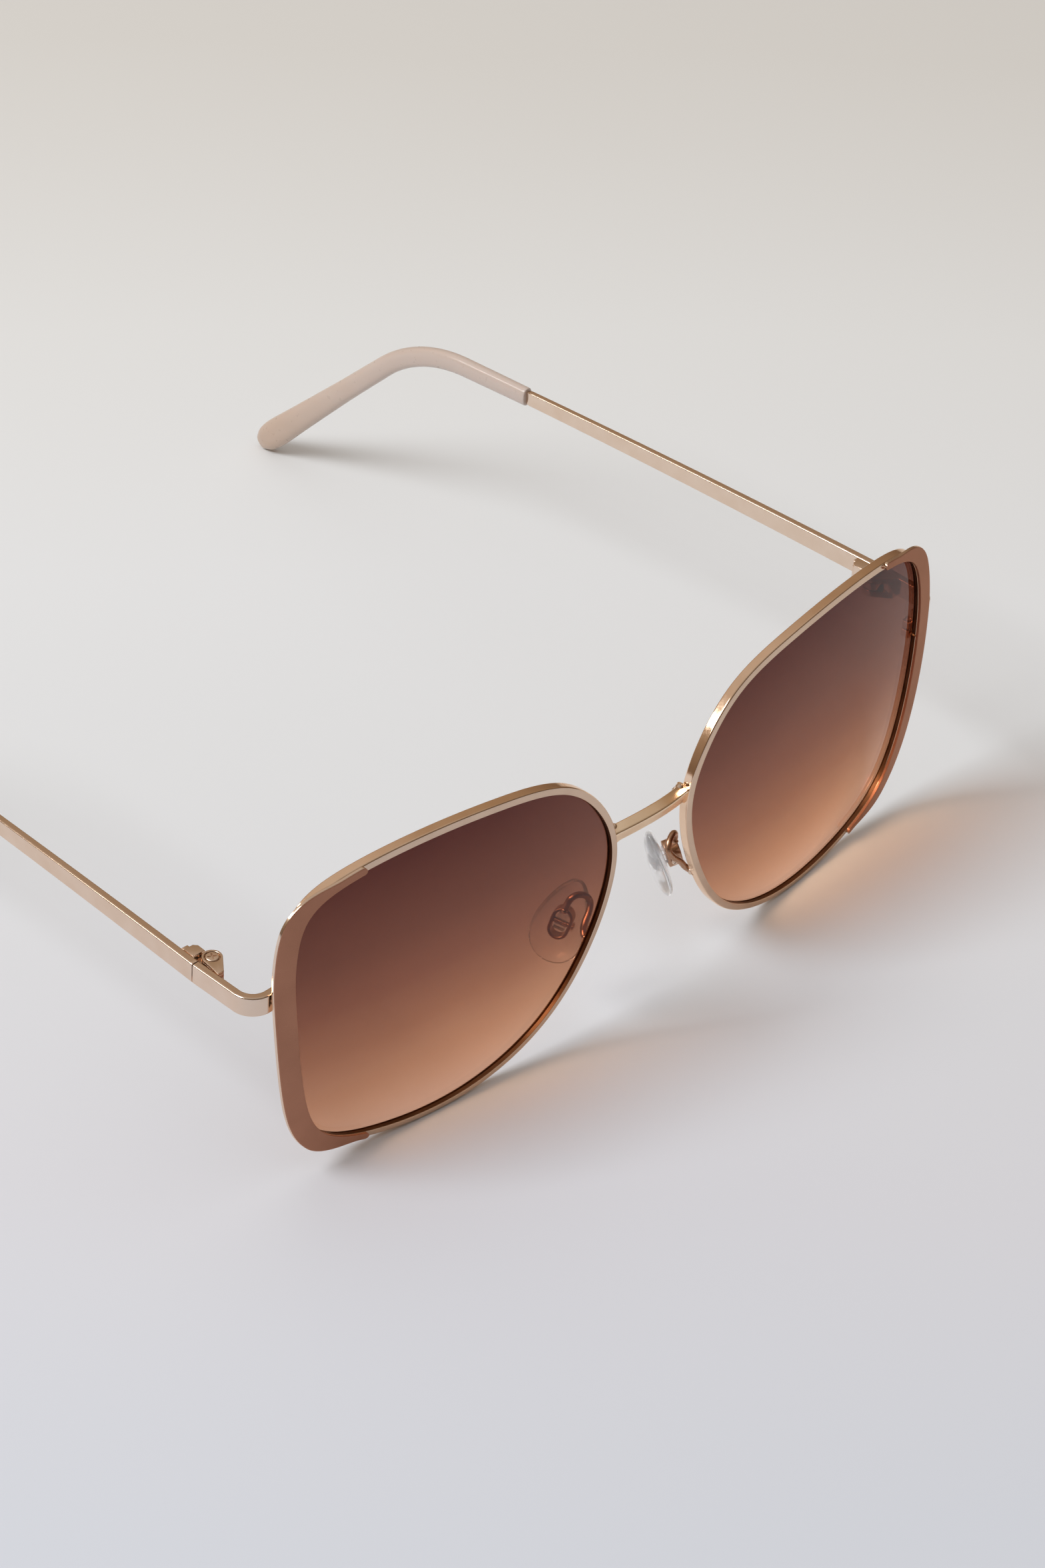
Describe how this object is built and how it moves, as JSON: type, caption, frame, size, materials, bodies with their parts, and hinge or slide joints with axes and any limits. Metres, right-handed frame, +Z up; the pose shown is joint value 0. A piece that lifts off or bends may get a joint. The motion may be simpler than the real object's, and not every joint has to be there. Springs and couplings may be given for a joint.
{
  "type": "sunglasses",
  "caption": "Oversized butterfly sunglasses: metal eyewires with gradient lenses, temple-side trim plates, single bridge, nose pads and folding temples.",
  "frame": {"origin": "centre of the bounding box's base, on the surface that the open glasses stand on", "axes": "+X across the face to the wearer's left, +Y back along the temples, +Z up"},
  "size_m": [0.1466, 0.1566, 0.0531],
  "materials": {
    "rose_gold": "polished rose-gold plating",
    "taupe_enamel": "satin taupe enamel on metal",
    "gradient_lens": "polished, plum brown at the top to peach at the bottom",
    "pink_acetate": "translucent pinkish taupe",
    "clear_pvc": "clear soft PVC",
    "gold_screw": "gold-washed steel"
  },
  "bodies": {
    "front": {"bridge": "rose_gold", "eyewire_left": "rose_gold", "eyewire_right": "rose_gold", "lens_left": "gradient_lens", "lens_right": "gradient_lens", "wing_plate_left": "taupe_enamel", "wing_plate_right": "taupe_enamel", "end_piece_left": "rose_gold", "end_piece_right": "rose_gold", "closing_block_upper_left": "rose_gold", "closing_block_upper_right": "rose_gold", "closing_block_lower_left": "rose_gold", "closing_block_lower_right": "rose_gold", "closing_screw_left": "gold_screw", "closing_screw_right": "gold_screw", "hinge_front_leaf_left": "rose_gold", "hinge_front_leaf_right": "rose_gold", "hinge_screw_left": "gold_screw", "hinge_screw_right": "gold_screw", "pad_arm_left": "rose_gold", "pad_arm_right": "rose_gold", "pad_box_left": "rose_gold", "pad_box_right": "rose_gold", "pad_screw_left": "gold_screw", "pad_screw_right": "gold_screw"},
    "temple_arm_left": {"temple_left": "rose_gold", "temple_tip_left": "pink_acetate", "hinge_temple_leaf_left": "rose_gold"},
    "temple_arm_right": {"temple_right": "rose_gold", "temple_tip_right": "pink_acetate", "hinge_temple_leaf_right": "rose_gold"},
    "pad_left": {"nose_pad_left": "clear_pvc"},
    "pad_right": {"nose_pad_right": "clear_pvc"}
  },
  "joints": [
    {"name": "temple_fold_left", "type": "hinge", "parent": "front", "child": "temple_arm_left", "pos_m": [0.07013, -0.05847, 0.0349], "axis": [0, -0.037, 0.9993], "range_deg": [0, 90]},
    {"name": "temple_fold_right", "type": "hinge", "parent": "front", "child": "temple_arm_right", "pos_m": [-0.07013, -0.05847, 0.0349], "axis": [0, 0.037, -0.9993], "range_deg": [0, 85]},
    {"name": "pad_rock_left", "type": "hinge", "parent": "front", "child": "pad_left", "pos_m": [0.0122, -0.07037, 0.01855], "axis": [0.4204, 0.8686, 0.2624], "range_deg": [-8, 8]},
    {"name": "pad_rock_right", "type": "hinge", "parent": "front", "child": "pad_right", "pos_m": [-0.0122, -0.07037, 0.01855], "axis": [-0.4204, 0.8686, 0.2624], "range_deg": [-8, 8]}
  ]
}
